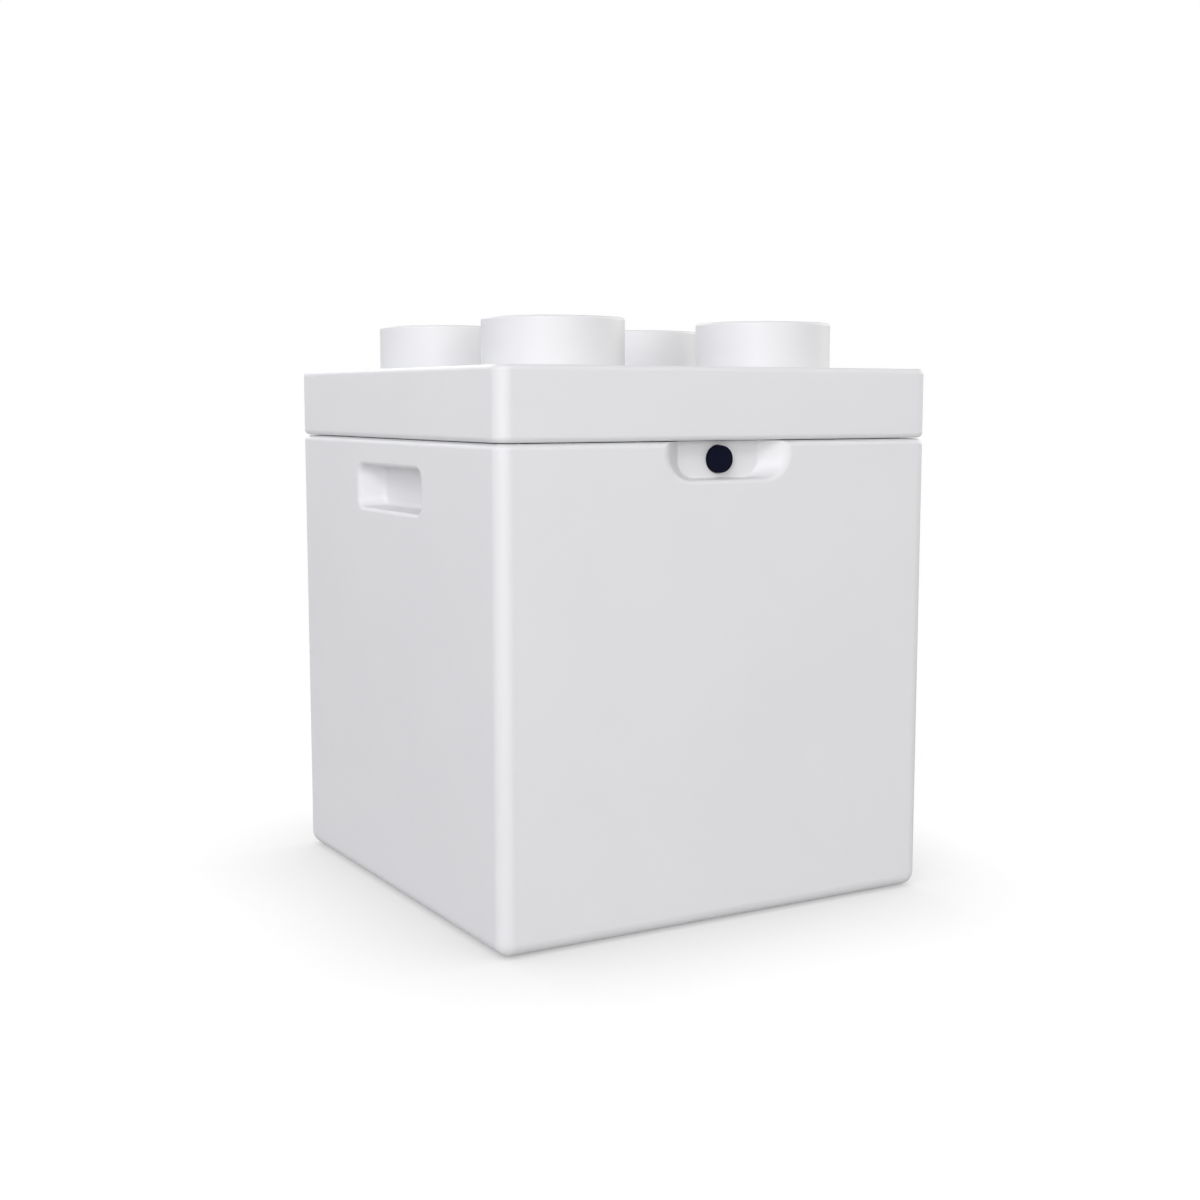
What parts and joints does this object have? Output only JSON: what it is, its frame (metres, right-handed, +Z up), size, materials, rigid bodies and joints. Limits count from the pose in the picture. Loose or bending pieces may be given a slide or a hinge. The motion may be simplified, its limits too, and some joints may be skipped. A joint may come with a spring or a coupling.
{
  "type": "toy box",
  "caption": "Square plastic toy box with a hinged lid that carries round hollow studs, hand pockets in its sides and a push-button magnetic catch in a front recess.",
  "frame": {"origin": "on the floor under the middle of the box's square outline", "axes": "+X to the right seen from the front, the front with the finger recess faces -Y, +Z up"},
  "size_m": [0.4, 0.4047, 0.4778],
  "materials": {
    "white_plastic": "satin moulded, slightly textured",
    "liner_plastic": "matt, fine grained",
    "grey_plastic": "matt moulded",
    "black_plastic": "matt, soft to the touch",
    "grey_rubber": "matt",
    "zinc_steel": "bright zinc plated",
    "spring_steel": "drawn wire",
    "nickel": "nickel plated"
  },
  "bodies": {
    "box": {"body_shell": "white_plastic", "foot_front_left": "grey_rubber", "foot_front_right": "grey_rubber", "foot_back_left": "grey_rubber", "foot_back_right": "grey_rubber", "foot_screw_front_left": "zinc_steel", "foot_screw_front_right": "zinc_steel", "foot_screw_back_left": "zinc_steel", "foot_screw_back_right": "zinc_steel", "latch_housing": "grey_plastic", "latch_screw_left": "zinc_steel", "latch_screw_right": "zinc_steel", "latch_spring_left": "spring_steel", "latch_spring_right": "spring_steel", "hinge_body_leaf_left": "zinc_steel", "hinge_body_leaf_right": "zinc_steel", "hinge_pin_left": "spring_steel", "hinge_pin_right": "spring_steel", "hinge_body_screw_left_1": "zinc_steel", "hinge_body_screw_left_2": "zinc_steel", "hinge_body_screw_right_1": "zinc_steel", "hinge_body_screw_right_2": "zinc_steel"},
    "lid": {"lid_shell": "white_plastic", "lid_liner": "liner_plastic", "hinge_lid_leaf_left": "zinc_steel", "hinge_lid_leaf_right": "zinc_steel", "hinge_lid_screw_left_1": "zinc_steel", "hinge_lid_screw_left_2": "zinc_steel", "hinge_lid_screw_right_1": "zinc_steel", "hinge_lid_screw_right_2": "zinc_steel", "liner_screw_front_left": "zinc_steel", "liner_screw_front_right": "zinc_steel", "liner_screw_middle_left": "zinc_steel", "liner_screw_middle_right": "zinc_steel", "liner_screw_back_left": "zinc_steel", "liner_screw_back_right": "zinc_steel", "bumper_front_left": "grey_rubber", "bumper_front_right": "grey_rubber", "bumper_side_left": "grey_rubber", "bumper_side_right": "grey_rubber", "guide_strip_front_left": "grey_rubber", "guide_strip_front_right": "grey_rubber", "guide_strip_side_left": "grey_rubber", "guide_strip_side_right": "grey_rubber", "keeper": "zinc_steel", "keeper_screw_left": "zinc_steel", "keeper_screw_right": "zinc_steel"},
    "latch_button": {"release_button": "black_plastic", "latch_slider": "grey_plastic", "latch_magnet_left": "nickel", "latch_magnet_right": "nickel", "button_screw": "zinc_steel"}
  },
  "joints": [
    {"name": "lid_hinge", "type": "hinge", "parent": "box", "child": "lid", "pos_m": [0, 0.2005, 0.3824], "axis": [-1, 0, 0], "range_deg": [0, 100]},
    {"name": "button_slide", "type": "slide", "parent": "box", "child": "latch_button", "axis": [0, 1, 0], "range_m": [0, 0.005], "stiffness_N_per_m": 800, "springref_m": -0.004, "deforming": ["latch_spring_left", "latch_spring_right"]}
  ]
}
